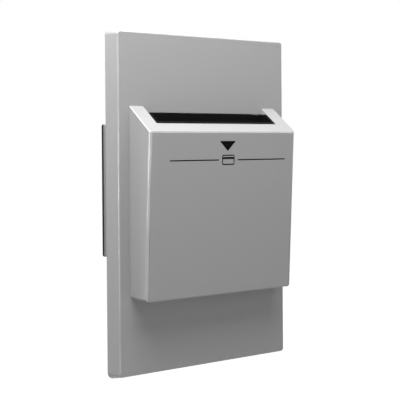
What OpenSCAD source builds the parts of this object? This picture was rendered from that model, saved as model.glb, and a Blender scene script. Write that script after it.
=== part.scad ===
// Key card switch for a hotel room: a clipped-on cover with a card pocket, and behind it a box that
// holds a sprung lever and the switch that the lever works.
// Millimetres. X runs to the right, Y into the wall and Z up. The wall's face is y = 0, and the
// origin lies midway between the two wall box screws.

/* [Cover plate] */
// Width of the plate at the wall
plate_w = 82.8; // [81:0.2:92]
// Height of the plate at the wall
plate_h = 127.6; // [121:0.2:142]
// Depth of the plate, from the wall to its front face
plate_d = 6.4; // [6.2:0.1:9]
// How far each side of the plate leans in from the wall to the front face
plate_draft = 1.3; // [0.6:0.1:1.6]
// Wall of the cover moulding
cover_wall = 2.2; // [1.8:0.1:2.4]
// Radius of the front face's four corners
plate_corner_r = 1.2; // [0.9:0.1:3]
// Rounding of the plate's front edge
plate_edge_r = 0.5; // [0.3:0.1:0.8]

/* [Card pocket] */
// Width of the pocket
pocket_w = 70.6; // [70.2:0.1:74]
// Height of the sloped rim where it leaves the plate
rim_root_z = 35.6; // [34:0.1:38]
// Height of the rim's front edge
rim_front_z = 25.9; // [25:0.1:28]
// Height of the pocket's underside where it leaves the plate
pocket_root_z = -33.8; // [-37:0.1:-33]
// Height of the pocket's lower front edge
pocket_bottom_z = -34.9; // [-38:0.1:-34]
// How far the pocket stands out at the rim's front edge
pocket_top_d = 12.6; // [11.8:0.1:15]
// How far the pocket stands out at its lower front edge
pocket_bottom_d = 9.4; // [8.8:0.1:11.5]
// Rounding of the pocket's two front side edges
pocket_edge_r = 1.2; // [0.5:0.1:1.6]
// Rounding of the pocket's lower front edge
pocket_toe_r = 0.4; // [0.2:0.1:1.2]
// Rounding of the pocket's two lower corners
pocket_corner_r = 2; // [1:0.1:4]
// Wall of the sloped rim
rim_wall = 2; // [1.4:0.1:2.4]
// Depth of the slot's mouth, out from the plate's face
mouth_d = 8.2; // [7:0.1:8.6]

/* [Card and guide] */
// Width of the card that the slot takes
card_w = 54; // [52:0.1:54.2]
// Side play of the card in the channel, on each side
card_play = 0.8; // [0.4:0.05:0.9]
// Depth of the card channel
channel_d = 4.4; // [4.2:0.1:5]
// Side and mouth wall of the guide
guide_side = 1.1; // [0.8:0.1:1.2]
// Back wall of the guide
guide_back = 1.6; // [1.2:0.1:2]
// Front wall of the guide
guide_front = 1.2; // [0.8:0.1:1.6]
// Floor of the guide, where the card stops
guide_floor = 1.6; // [1.2:0.1:2.4]
// How far the guide's back wall ends below the rim's root
guide_drop = 2.5; // [1:0.1:3]
// Height where the channel begins to flare to its mouth
flare_z = 14; // [8:0.5:18]
// Height of the guide's screws, above and below the middle
guide_screw_z = 20; // [16:0.5:22]

/* [Mounting strap] */
// Distance between the two wall box screws
box_pitch = 83.34; // [83:0.01:84]
// Thickness of the strap
strap_t = 1.2; // [1:0.1:1.6]
// Width of the strap
strap_w = 58; // [50:1:64]
// Height of the strap
strap_h = 104; // [100:1:110]
// Height of the clip lugs, above and below the middle
lug_z = 28; // [24:0.5:32]
// Width of a clip lug
lug_w = 9; // [8:0.5:11]
// How far a cover hook stands in from the cover's wall
hook_h = 1.5; // [1.2:0.1:1.7]
// Width of a cover hook
hook_w = 4; // [3:0.5:5]

/* [Body] */
// Width of the box behind the wall
body_w = 46; // [44.8:0.2:49]
// Height of the box
body_h = 52.4; // [51.4:0.1:55]
// Height of the box's middle above the plate's middle
body_z = 3.5; // [3.4:0.05:4.2]
// Depth of the box behind the wall, with its rear cover
body_d = 30.4; // [29.4:0.1:33]
// Wall of the shell
shell_wall = 2; // [1.8:0.1:2.2]
// Thickness of the rear cover
rear_t = 1.2; // [1:0.1:2]
// Radius of the box's corners
body_corner_r = 0.8; // [0.6:0.1:2.4]
// Radius of the shell's corner posts
post_r = 3; // [2.6:0.1:3.2]

/* [Lever] */
// Depth of the lever's hinge behind the wall
pivot_y = 5.6; // [5.4:0.1:5.8]
// Height of the lever's hinge
pivot_z = 9; // [8.6:0.1:9.4]
// Turn of the lever when a card pushes it home
press_angle = 9.5; // [9:0.1:9.7]
// Radius of the hinge pin
pin_r = 1.5; // [1.3:0.05:1.6]
// Radius of the lever's hub
hub_r = 2.8; // [2.5:0.1:3]
// Thickness of the lever's arm
arm_t = 2.8; // [2.4:0.1:3]
// Width of the lever's arm
lever_w = 14; // [13:0.1:14.4]
// Width of the nose that stands into the channel
nose_w = 12; // [9:0.5:12]
// How far the nose stands into the channel
nose_reach = 3.6; // [3.2:0.1:3.8]
// Height of the nose's tip
nose_z = -13; // [-14:0.1:-12.6]
// Height of the nose's lower edge
nose_bottom_z = -17.5; // [-18:0.1:-17]
// Height of the nose's upper edge, where its ramp begins
nose_top_z = -5; // [-7:0.1:-4]
// Wire radius of the lever's spring
spring_wire_r = 0.3; // [0.25:0.01:0.31]
// Mean radius of the lever's spring
spring_r = 2.3; // [2.1:0.05:2.35]
// Turns of the lever's spring
spring_turns = 5; // [3:1:5]
// Rise of the lever's spring in one turn
spring_pitch = 1.06; // [1.04:0.01:1.12]

/* [Switch] */
// Height of the plunger
plunger_z = -4; // [-4.6:0.1:-3.6]
// Radius of the plunger
plunger_r = 1.5; // [1.2:0.1:1.7]
// Depth of the switch case's front behind the wall
case_y = 9.6; // [9.5:0.1:10]
// Depth of the switch case, front to back, without its lid
case_d = 14.2; // [14:0.1:15]
// Width of the switch case
case_w = 10.4; // [10:0.1:11]
// Height of the switch case's lower end
case_bottom_z = -13; // [-13.2:0.1:-12.6]
// Height of the switch case's upper end
case_top_z = 15; // [14.4:0.1:15.4]
// Wall of the switch case
case_wall = 1.6; // [1.4:0.1:1.7]
// Thickness of the switch lid
lid_t = 1.2; // [1:0.1:1.6]
// Thickness of the contact arm
contact_arm_t = 0.8; // [0.6:0.05:0.9]
// Height of the contacts
contact_z = -9.5; // [-9.7:0.1:-9]
// Radius of the contacts
contact_r = 1.5; // [1.1:0.1:1.6]
// Thickness of a contact's head
contact_t = 0.8; // [0.5:0.1:1]
// Radius of the contact arm's pin
arm_pin_r = 0.8; // [0.7:0.05:0.9]
// Turns of the contact arm's spring
arm_spring_turns = 6; // [4:1:6]
// Mean radius of the contact arm's spring
arm_spring_r = 1.4; // [1.2:0.1:1.5]
// Wire radius of the contact arm's spring
arm_spring_wire_r = 0.25; // [0.2:0.01:0.28]

/* [Terminals] */
// Thickness of the terminal strips
strip_t = 0.8; // [0.7:0.05:0.9]
// Width of the terminal strips
strip_w = 3.4; // [3:0.1:3.6]
// Side of the square windows over the terminals
window_side = 9; // [8.6:0.1:9.4]
// Depth of the terminal screws behind the wall
terminal_y = 14; // [13.6:0.1:14.6]
// Radius of the terminal screws
terminal_screw_r = 1.75; // [1.5:0.05:1.9]
// Radius of the terminal screw heads
terminal_head_r = 3.6; // [3.2:0.1:3.8]

/* [Screws] */
// Radius of the wall box screws
box_screw_r = 1.75; // [1.6:0.05:1.9]
// Length of the wall box screws
box_screw_l = 22; // [18:1:28]
// Radius of the earth screw
ground_screw_r = 2; // [1.75:0.05:2.4]
// Radius of the small screws
small_screw_r = 1.3; // [1.1:0.05:1.4]
// Length of the small screws
small_screw_l = 8; // [7:0.5:9]
// Radius of the guide's screws
guide_screw_r = 1; // [0.8:0.05:1.1]
// Length of the guide's screws
guide_screw_l = 8; // [6:0.5:8.5]

/* [Fits] */
// Gap round a piece that is set in another
slip = 0.1; // [0.08:0.01:0.2]
// Gap round a screw or a fixed pin in its hole
hole_fit = 0.03; // [0.02:0.01:0.05]
// Gap round a pin that turns, or a plunger that slides
running_fit = 0.06; // [0.03:0.01:0.09]
// Gap at a stop, between pieces that move apart
stop_gap = 0.3; // [0.25:0.05:0.4]
// Gap round the moving lever in the windows that it passes
lever_gap = 0.6; // [0.5:0.05:0.8]

/* [Hidden] */
round_fn = 48;
// How far a cut runs past the face that it opens
past = 1;

// Faces of the plate and slopes of the pocket
face_y = -plate_d;
front_w = plate_w - 2 * plate_draft;
front_h = plate_h - 2 * plate_draft;
plate_inner_y = face_y + cover_wall;
plate_inner_x = front_w / 2 - cover_wall;
plate_inner_z = front_h / 2 - cover_wall;
lean = atan((pocket_top_d - pocket_bottom_d) / (rim_front_z - pocket_bottom_z));
rim_slope = (rim_root_z - rim_front_z) / pocket_top_d;
function front_y(z) = face_y - pocket_bottom_d - (z - pocket_bottom_z) * tan(lean);
function rim_z(y) = rim_root_z + (y - face_y) * rim_slope;
pocket_bottom_y = front_y(pocket_bottom_z);
pocket_top_y = front_y(rim_front_z);

// Hollow of the pocket
pocket_inner_x = pocket_w / 2 - cover_wall;
pocket_floor_z = pocket_root_z + cover_wall;
front_wall = cover_wall / cos(lean);
rim_drop = rim_wall / cos(atan(rim_slope));
hollow_reach = front_wall - pocket_bottom_d + pocket_bottom_z * tan(lean);
hollow_top_z = (rim_root_z - rim_drop + rim_slope * hollow_reach) / (1 + rim_slope * tan(lean));

// Channel, guide and slot
channel_w = card_w + 2 * card_play;
guide_w = channel_w + 2 * guide_side;
slot_w = guide_w + 2 * slip;
guide_top_z = rim_root_z - guide_drop;
guide_back_y = face_y + guide_back;
channel_y = face_y - channel_d;
guide_front_y = channel_y - guide_front;
mouth_y = face_y - mouth_d;
guide_mouth_y = mouth_y + slip;
guide_bottom_z = pocket_floor_z + stop_gap;
mouth_land = 3;
function guide_rim_z(y) = rim_z(y) - slip;

// Screws that hold the guide, and the cover's bosses for them
pan_head_ratio = 1.85;
pan_height_ratio = 1.15;
ear_h = 8;
ear_x = pocket_inner_x - slip;
ear_margin = 0.3;
boss_gap = 0.2;
boss_wall = 0.8;
boss_r = guide_screw_r + boss_wall;
boss_web = 1.4;
web_step = 0.4;
// A boss lies out at the ear's edge, clear of the guide's side
boss_x = max(ear_x - ear_margin - pan_head_ratio * guide_screw_r, guide_w / 2 + boss_gap + boss_r);

// Strap, lugs and hooks
lug_gap = 0.6;
lug_x = plate_inner_x - lug_gap;
lug_room = 0.5;
lug_reach = -plate_inner_y - lug_room;
lug_bar = 0.75;
hook_fit = 0.25;
hook_y = lug_bar + hook_fit - lug_reach;
hook_l = 0.8;
box_neck_step = 0.2;
box_neck_r = box_screw_r + box_neck_step;
box_slot_play = 0.15;
box_slot_r = box_neck_r + box_slot_play;
box_slot_l = 8;
strap_corner_r = 4;
ground_x = -20;
ground_z = -37;
ground_screw_l = 9;

// Box behind the wall
shell_d = body_d - rear_t;
body_top_z = body_z + body_h / 2;
body_bottom_z = body_z - body_h / 2;
shell_inner_x = body_w / 2 - shell_wall;
post_inset = 2;
post_x = shell_inner_x - post_inset;
post_zs = [body_bottom_z + shell_wall + post_inset, body_top_z - shell_wall - post_inset];
pilot_l = small_screw_l + past;
lip_h = 1.5;
lip_t = 1.2;

// Lever, with its rest position and the turn that a card gives it
arm_front_y = pivot_y - arm_t;
arm_overhang = 0.5;
arm_bottom_z = nose_bottom_z - arm_overhang;
nose_tip_y = face_y - nose_reach;
nose_tip_h = 1.6;
hub_overhang = 0.8;
hub_x = lever_w / 2 + hub_overhang;
spring_x = spring_turns * spring_pitch / 2;
spring_room = 0.6;
hub_inner_x = spring_x + spring_wire_r + spring_room;
spring_room_z = pivot_z - spring_r - spring_wire_r - spring_room;
function pressed(p) = [
    pivot_y + (p.x - pivot_y) * cos(press_angle) - (p.y - pivot_z) * sin(press_angle),
    pivot_z + (p.x - pivot_y) * sin(press_angle) + (p.y - pivot_z) * cos(press_angle)
];
lever_window_w = nose_w + 2 * lever_gap;
lever_window_top_z = nose_top_z + lever_gap;
lever_window_bottom_z = pressed([face_y, nose_bottom_z]).y - lever_gap;

// Hinge cheeks, lever stops and spring seats in the shell
hub_play = 0.4;
cheek_x = hub_x + hub_play;
cheek_t = 2.6;
cheek_wall = 2.4;
cheek_r = pin_r + cheek_wall;
clip_ratio = 0.84;
clip_w = 2 * pin_r * clip_ratio;
lever_stop_y = arm_front_y - stop_gap;
spring_seat_w = 2.1;
spring_seat_y = pivot_y + spring_r - spring_wire_r - stop_gap;
spring_leg = 6;
spring_pad_h = 3;
spring_stop_h = 1.8;

// Switch case, its ears and the posts that carry it
case_back_y = case_y + case_d;
case_inner_x = case_w / 2 - case_wall;
lid_back_y = case_back_y + lid_t;
ear_t = 2.4;
switch_post_wall = 0.9;
switch_post_r = small_screw_r + switch_post_wall;
post_gap = 0.5;
side_ear_x = lever_w / 2 + post_gap + switch_post_r;
side_ear_rise = 3.5;
side_ear_z = case_bottom_z + side_ear_rise;
top_ear_rise = 4;
top_ear_z = case_top_z + top_ear_rise;
switch_points = [[0, top_ear_z], [-side_ear_x, side_ear_z], [side_ear_x, side_ear_z]];

// Contact arm, which turns as the lever does because both hinges are at one height
arm_depth = 5.4;
arm_y = case_y + arm_depth;
arm_half_w = 2.2;
arm_hub_w = 2.4;
arm_hub_wall = 0.9;
arm_hub_r = arm_pin_r + arm_hub_wall;
arm_face_y = arm_y - contact_arm_t / 2;
arm_rear_y = arm_y + contact_arm_t / 2;
arm_end_z = contact_z - contact_r;
rivet_ratio = 0.4;
rivet_r = rivet_ratio * contact_r;
clinch_ratio = 0.67;
clinch_r = clinch_ratio * contact_r;
clinch_t = 0.4;
contact_travel = (pivot_z - contact_z) * sin(press_angle) + contact_r * sin(press_angle);
fixed_contact_y = arm_rear_y + contact_t + contact_travel + stop_gap;

// Plunger
plunger_tip_y = pivot_y + stop_gap;
plunger_end_y = arm_face_y - stop_gap;
plunger_flange_w = 0.9;
plunger_flange_r = plunger_r + plunger_flange_w;
plunger_flange_t = 0.9;
plunger_flange_y = case_y + case_wall + stop_gap;

// Terminal strips, and the arm's spring between the arm and the lid
load_strip_y = fixed_contact_y + contact_t;
line_strip_gap = 3.5;
line_strip_y = arm_y + arm_hub_r + line_strip_gap;
line_plate_gap = 0.4;
line_plate_x = arm_hub_w + line_plate_gap;
load_strip_margin = 0.5;
line_z = pivot_z;
load_z = contact_z;
tab_gap = 0.2;
tab_x = shell_inner_x - tab_gap;
tab_h = 8;
tab_front_y = terminal_y - tab_h / 2;
terminal_screw_l = 6;
terminal_head_h = 2.3;
arm_spring_z = 2;
arm_spring_gap = 0.05;

function unit(v) = v / norm(v);
// Points that round the corner b of an outline between a and c
function corner(a, b, c, r, n = 6) =
    let (u = unit(a - b), v = unit(c - b), half = acos(u * v) / 2)
    let (centre = b + unit(u + v) * r / sin(half))
    let (p0 = b + u * r / tan(half) - centre, p1 = b + v * r / tan(half) - centre)
    let (a0 = atan2(p0.y, p0.x), turn = (atan2(p1.y, p1.x) - a0 + 540) % 360 - 180)
    [for (i = [0:n]) centre + r * [cos(a0 + turn * i / n), sin(a0 + turn * i / n)]];

// Rectangle with four round corners, about the middle
module rounded_rect(w, h, r) {
    square([w - 2 * r, h], center = true);
    square([w, h - 2 * r], center = true);
    for (x = [-1, 1], y = [-1, 1])
        translate([x * (w / 2 - r), y * (h / 2 - r)])
            circle(r, $fn = round_fn);
}

// Rectangle from y = -d to y = 0 whose two corners at y = -d are round
module front_rounded(w, d, r) {
    translate([-w / 2 + r, -d])
        square([w - 2 * r, d]);
    translate([-w / 2, r - d])
        square([w, d - r]);
    for (x = [-1, 1])
        translate([x * (w / 2 - r), r - d])
            circle(r, $fn = round_fn);
}

// Rounded slab that stands across Y, from y0 to y1, with its middle at height z
module slab(w, h, r, y0, y1, z = 0) {
    translate([0, y1, z])
        rotate([90, 0, 0])
            linear_extrude(y1 - y0)
                rounded_rect(w, h, r);
}

// Outline of [y, z] points, drawn along X from x0 to x1
module prism(x0, x1, points) {
    translate([x0, 0, 0])
        rotate([90, 0, 90])
            linear_extrude(x1 - x0)
                polygon(points);
}

// Box between two corners
module block(a, b) {
    translate(a)
        cube(b - a);
}

// Cylinder along Y from y0 to y1
module rod_y(x, z, r, y0, y1) {
    translate([x, y1, z])
        rotate([90, 0, 0])
            cylinder(r = r, h = y1 - y0, $fn = round_fn);
}

// Cylinder along X from x0 to x1
module rod_x(y, z, r, x0, x1) {
    translate([x0, y, z])
        rotate([0, 90, 0])
            cylinder(r = r, h = x1 - x0, $fn = round_fn);
}

// Stands its children at a point, with their Z along Y, forwards into the wall or back out of it
module along_y(p, way) {
    translate(p)
        rotate([-90 * way, 0, 0])
            children();
}

// Cross that a screwdriver fits, cut from the top of a head of height h
module cross_recess(r, h) {
    recess_w = 0.36 * r;
    recess_l = 1.3 * r;
    recess_d = 0.55 * h;
    for (a = [0, 90])
        rotate(a)
            translate([-recess_l / 2, -recess_w / 2, -h - past])
                cube([recess_l, recess_w, recess_d + past]);
}

// Screw with its shank along Z from 0 and its head below
module pan_screw(r, l, head_r, head_h) {
    difference() {
        union() {
            cylinder(r = r, h = l, $fn = round_fn);
            translate([0, 0, -head_h])
                cylinder(r = head_r, h = head_h, $fn = round_fn);
        }
        cross_recess(head_r, head_h);
    }
}

// Screw whose head follows its shank
module headed_screw(r, l) {
    pan_screw(r, l, pan_head_ratio * r, pan_height_ratio * r);
}

module small_screw() {
    headed_screw(small_screw_r, small_screw_l);
}

// Round wire along a path of [point, outward direction] pairs, as one closed tube
module wire(path, r, sides = 6) {
    n = len(path);
    points = [
        for (i = [0:n - 1])
            let (along = unit(path[min(i + 1, n - 1)][0] - path[max(i - 1, 0)][0]))
            let (side = unit(cross(along, path[i][1])), up = cross(side, along))
            for (k = [0:sides - 1])
                path[i][0] + r * (cos(360 * k / sides) * up + sin(360 * k / sides) * side)
    ];
    walls = [
        for (i = [0:n - 2], k = [0:sides - 1])
            let (a = i * sides + k, b = i * sides + (k + 1) % sides)
            each [[a, a + sides, b + sides], [a, b + sides, b]]
    ];
    last = (n - 1) * sides;
    caps = [for (k = [1:sides - 2]) each [[0, k, k + 1], [last, last + k + 1, last + k]]];
    polyhedron(points, concat(walls, caps), convexity = 10);
}

// Least gap between stretches of a wire that are more than half a turn apart
function least_gap(path, r, rings) = min([
    for (i = [0:len(path) - 1], j = [i + rings / 2 + 1:len(path) - 1])
        norm(path[i][0] - path[j][0]) - 2 * r
]);

// Points of a leaning side of the plate, from its rounded front edge at w back to the wall. They lie on a
// grid, so that the straight sides and the corners meet without slivers.
profile_grid = 0.001;
plate_edge = concat(
    corner([-front_w, face_y], [0, face_y], [plate_draft, 0], plate_edge_r),
    [[plate_draft, 0]]
);
function on_grid(v) = profile_grid * round(v / profile_grid);
function plate_side(w) = [for (p = plate_edge) [w + on_grid(p.x), on_grid(p.y)]];

// Section of the plate whose front face is 2 * w wide
module plate_section(w) {
    side = plate_side(w);
    polygon(concat(side, [for (i = [len(side) - 1:-1:0]) [-side[i].x, side[i].y]]));
}

// Cover: plate, pocket and their hollows. The plate is two crossed bars with a cone at each corner.
module plate_outer() {
    corner_x = front_w / 2 - plate_corner_r;
    corner_z = front_h / 2 - plate_corner_r;
    translate([0, 0, -corner_z])
        linear_extrude(2 * corner_z)
            plate_section(front_w / 2);
    rotate([0, 90, 0])
        translate([0, 0, -corner_x])
            linear_extrude(2 * corner_x)
                plate_section(front_h / 2);
    for (x = [-1, 1], z = [-1, 1])
        translate([x * corner_x, 0, z * corner_z])
            rotate([-90, 0, 0])
                rotate(atan2(z, -x))
                    rotate_extrude($fn = round_fn)
                        polygon(concat([[0, 0], [0, face_y]], plate_side(plate_corner_r)));
}

module pocket_outer() {
    root = [plate_inner_y, pocket_root_z];
    toe = [pocket_bottom_y, pocket_bottom_z];
    lip = [pocket_top_y, rim_front_z];
    crown = [plate_inner_y, rim_z(plate_inner_y)];
    corner_h = rim_root_z - pocket_bottom_z;
    intersection() {
        prism(-pocket_w, pocket_w, concat(
            [root],
            corner(root, toe, lip, pocket_toe_r),
            corner(toe, lip, crown, pocket_edge_r / 2),
            [[face_y, rim_root_z], [plate_inner_y, rim_root_z]]
        ));
        translate([0, pocket_bottom_y, pocket_bottom_z])
            rotate([lean, 0, 0])
                translate([0, pocket_w, -pocket_w])
                    linear_extrude(3 * pocket_w)
                        front_rounded(pocket_w, pocket_w, pocket_edge_r);
        slab(pocket_w, 2 * corner_h, pocket_corner_r, 2 * pocket_top_y, 0, rim_root_z);
    }
}

module pocket_hollow() {
    top_y = front_y(hollow_top_z) + front_wall;
    prism(-pocket_inner_x, pocket_inner_x, [
        [plate_inner_y + past, pocket_floor_z],
        [front_y(pocket_floor_z) + front_wall, pocket_floor_z],
        [top_y, hollow_top_z],
        [face_y, rim_z(face_y) - rim_drop],
        [plate_inner_y + past, rim_z(face_y) - rim_drop]
    ]);
}

module guide_bosses() {
    for (x = [-1, 1], z = [-guide_screw_z, guide_screw_z]) {
        tip_y = front_y(z) + cover_wall / 2;
        web_x = pocket_inner_x + cover_wall / 2;
        web_y = face_y - web_step;
        difference() {
            union() {
                rod_y(x * boss_x, z, boss_r, tip_y, face_y);
                translate([x * (boss_x + web_x) / 2, (tip_y + web_y) / 2, z])
                    cube([web_x - boss_x, web_y - tip_y, boss_web], center = true);
            }
            rod_y(x * boss_x, z, guide_screw_r + hole_fit, face_y - guide_screw_l, face_y + past);
        }
    }
}

// Four wedges on the cover's side walls, which clip into the strap's lugs
module cover_hooks() {
    for (x = [-1, 1], z = [-lug_z, lug_z])
        translate([x * plate_inner_x, 0, z - hook_w / 2])
            scale([x, 1, 1])
                linear_extrude(hook_w)
                    polygon([
                        [cover_wall / 2, hook_y],
                        [-hook_h, hook_y],
                        [-hook_h, hook_y + hook_l / 3],
                        [cover_wall / 2, hook_y + hook_l + cover_wall / 2]
                    ]);
}

module front_cover() {
    color("darkgray") {
        difference() {
            union() {
                plate_outer();
                pocket_outer();
            }
            slab(2 * plate_inner_x, 2 * plate_inner_z, plate_corner_r, plate_inner_y, past);
            pocket_hollow();
            block([-slot_w / 2, mouth_y, pocket_floor_z], [slot_w / 2, face_y, rim_root_z + past]);
            block([-slot_w / 2, face_y - past, pocket_floor_z], [slot_w / 2, past, guide_top_z + slip]);
        }
        guide_bosses();
        cover_hooks();
    }
}

module card_guide() {
    lip_z = guide_rim_z(guide_mouth_y);
    lip_inner_y = guide_mouth_y + guide_side;
    floor_z = guide_bottom_z + guide_floor;
    top_y = face_y - (rim_root_z - slip - guide_top_z) / rim_slope;
    color("dimgray")
        difference() {
            union() {
                prism(-guide_w / 2, guide_w / 2, [
                    [guide_back_y, guide_bottom_z],
                    [guide_back_y, guide_top_z],
                    [top_y, guide_top_z],
                    [guide_mouth_y, lip_z],
                    [guide_mouth_y, lip_z - mouth_land],
                    [guide_front_y, flare_z],
                    [guide_front_y, guide_bottom_z]
                ]);
                for (z = [-guide_screw_z, guide_screw_z])
                    block([-ear_x, face_y, z - ear_h / 2], [ear_x, guide_back_y, z + ear_h / 2]);
            }
            prism(-channel_w / 2, channel_w / 2, [
                [face_y, floor_z],
                [face_y, rim_root_z + past],
                [lip_inner_y, rim_root_z + past],
                [lip_inner_y, lip_z - mouth_land],
                [channel_y, flare_z],
                [channel_y, floor_z]
            ]);
            block(
                [-lever_window_w / 2, face_y - past, lever_window_bottom_z],
                [lever_window_w / 2, guide_back_y + past, lever_window_top_z]
            );
            for (x = [-boss_x, boss_x], z = [-guide_screw_z, guide_screw_z])
                rod_y(x, z, guide_screw_r + hole_fit, face_y - past, guide_back_y + past);
        }
}

module guide_screws() {
    color("silver")
        for (x = [-boss_x, boss_x], z = [-guide_screw_z, guide_screw_z])
            along_y([x, guide_back_y, z], -1)
                headed_screw(guide_screw_r, guide_screw_l);
}

module mounting_strap() {
    color("lightsteelblue")
        difference() {
            union() {
                slab(strap_w, strap_h, strap_corner_r, -strap_t, 0);
                for (z = [-lug_z, lug_z]) {
                    block([-lug_x, -strap_t, z - lug_w / 2], [lug_x, 0, z + lug_w / 2]);
                    for (x = [-lug_x, lug_x - strap_t])
                        block([x, -lug_reach, z - lug_w / 2], [x + strap_t, 0, z + lug_w / 2]);
                }
            }
            for (z = [-lug_z, lug_z])
                block(
                    [-plate_w, hook_y - hook_fit, z - hook_w / 2 - hook_fit],
                    [plate_w, hook_y + hook_l + hook_fit, z + hook_w / 2 + hook_fit]
                );
            for (z = [-box_pitch / 2, box_pitch / 2]) {
                for (x = [-1, 1])
                    rod_y(x * (box_slot_l / 2 - box_slot_r), z, box_slot_r, -strap_t - past, past);
                block(
                    [box_slot_r - box_slot_l / 2, -strap_t - past, z - box_slot_r],
                    [box_slot_l / 2 - box_slot_r, past, z + box_slot_r]
                );
            }
            for (x = [-post_x, post_x], z = post_zs)
                rod_y(x, z, small_screw_r + hole_fit, -strap_t - past, past);
            rod_y(ground_x, ground_z, ground_screw_r + hole_fit, -strap_t - past, past);
            block(
                [-lever_window_w / 2, -strap_t - past, lever_window_bottom_z],
                [lever_window_w / 2, past, lever_window_top_z]
            );
        }
}

// Wall box screws, each with a plain neck where it passes the strap
module box_screws() {
    color("silver")
        for (z = [-box_pitch / 2, box_pitch / 2])
            along_y([0, -strap_t, z], 1) {
                headed_screw(box_screw_r, box_screw_l);
                cylinder(r = box_neck_r, h = strap_t, $fn = round_fn);
            }
}

// Earth screw with a six-sided head and a slot
module ground_screw() {
    head_r = 2 * ground_screw_r;
    head_h = 1.2 * ground_screw_r;
    slot_t = 0.4 * ground_screw_r;
    color("green")
        along_y([ground_x, -strap_t, ground_z], 1)
            difference() {
                union() {
                    cylinder(r = ground_screw_r, h = ground_screw_l, $fn = round_fn);
                    translate([0, 0, -head_h])
                        cylinder(r = head_r, h = head_h, $fn = 6);
                }
                translate([-head_r, -slot_t / 2, -head_h - past])
                    cube([2 * head_r, slot_t, head_h / 2 + past]);
            }
}

module strap_screws() {
    color("silver")
        for (x = [-post_x, post_x], z = post_zs)
            along_y([x, -strap_t, z], 1)
                small_screw();
}

// Two clips on the shell's front wall that the hinge pin is pressed into from behind
module hinge_cheeks() {
    for (x = [-cheek_x - cheek_t, cheek_x])
        difference() {
            union() {
                rod_x(pivot_y, pivot_z, cheek_r, x, x + cheek_t);
                block([x, 0, pivot_z - cheek_r], [x + cheek_t, pivot_y, pivot_z + cheek_r]);
            }
            rod_x(pivot_y, pivot_z, pin_r + hole_fit, x - past, x + cheek_t + past);
            block(
                [x - past, pivot_y, pivot_z - clip_w / 2],
                [x + cheek_t + past, pivot_y + 2 * cheek_r, pivot_z + clip_w / 2]
            );
        }
}

module body_shell() {
    stop_w = 2.5;
    stop_h = 3;
    window_h = window_side / 2;
    switch_pilot_y = case_y + ear_t - small_screw_l - stop_gap;
    color("gainsboro")
        difference() {
            union() {
                difference() {
                    slab(body_w, body_h, body_corner_r, 0, shell_d, body_z);
                    slab(2 * shell_inner_x, body_h - 2 * shell_wall, body_corner_r / 2, shell_wall,
                        shell_d + past, body_z);
                }
                for (x = [-post_x, post_x], z = post_zs)
                    rod_y(x, z, post_r, 0, shell_d);
                for (p = switch_points)
                    rod_y(p.x, p.y, switch_post_r, 0, case_y);
                hinge_cheeks();
                for (x = [-lever_w / 2, lever_w / 2 - stop_w])
                    block([x, 0, spring_room_z - stop_h], [x + stop_w, lever_stop_y, spring_room_z]);
                block(
                    [-spring_x - spring_seat_w / 2, 0, pivot_z + spring_leg - spring_stop_h],
                    [-spring_x + spring_seat_w / 2, spring_seat_y, pivot_z + spring_leg]
                );
            }
            for (x = [-post_x, post_x], z = post_zs) {
                rod_y(x, z, small_screw_r + hole_fit, -past, small_screw_l);
                rod_y(x, z, small_screw_r + hole_fit, shell_d - pilot_l, shell_d + past);
            }
            for (p = switch_points)
                rod_y(p.x, p.y, small_screw_r + hole_fit, switch_pilot_y, case_y + past);
            block(
                [-lever_window_w / 2, -past, lever_window_bottom_z],
                [lever_window_w / 2, shell_wall + past, lever_window_top_z]
            );
            block(
                [-body_w, terminal_y - window_h, line_z - window_h],
                [-shell_inner_x + past, terminal_y + window_h, line_z + window_h]
            );
            block(
                [shell_inner_x - past, terminal_y - window_h, load_z - window_h],
                [body_w, terminal_y + window_h, load_z + window_h]
            );
        }
}

module rear_cover() {
    lip_x = shell_inner_x - slip;
    lip_z = body_h / 2 - shell_wall - slip;
    room = [lip_x - lip_t, lip_z - lip_t];
    pad = [3, 6];
    color("black")
        difference() {
            union() {
                slab(body_w, body_h, body_corner_r, shell_d, body_d, body_z);
                difference() {
                    slab(2 * lip_x, 2 * lip_z, body_corner_r / 2, shell_d - lip_h, shell_d, body_z);
                    slab(2 * room.x, 2 * room.y, body_corner_r / 2, shell_d - lip_h - past, shell_d, body_z);
                    for (x = [-post_x, post_x], z = post_zs)
                        rod_y(x, z, post_r + slip, shell_d - lip_h - past, shell_d);
                }
                block([-pad.x, lid_back_y + slip, -pad.y], [pad.x, shell_d, pad.y]);
            }
            for (x = [-post_x, post_x], z = post_zs)
                rod_y(x, z, small_screw_r + hole_fit, shell_d - past, body_d + past);
        }
}

module rear_cover_screws() {
    color("silver")
        for (x = [-post_x, post_x], z = post_zs)
            along_y([x, body_d, z], -1)
                small_screw();
}

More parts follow.
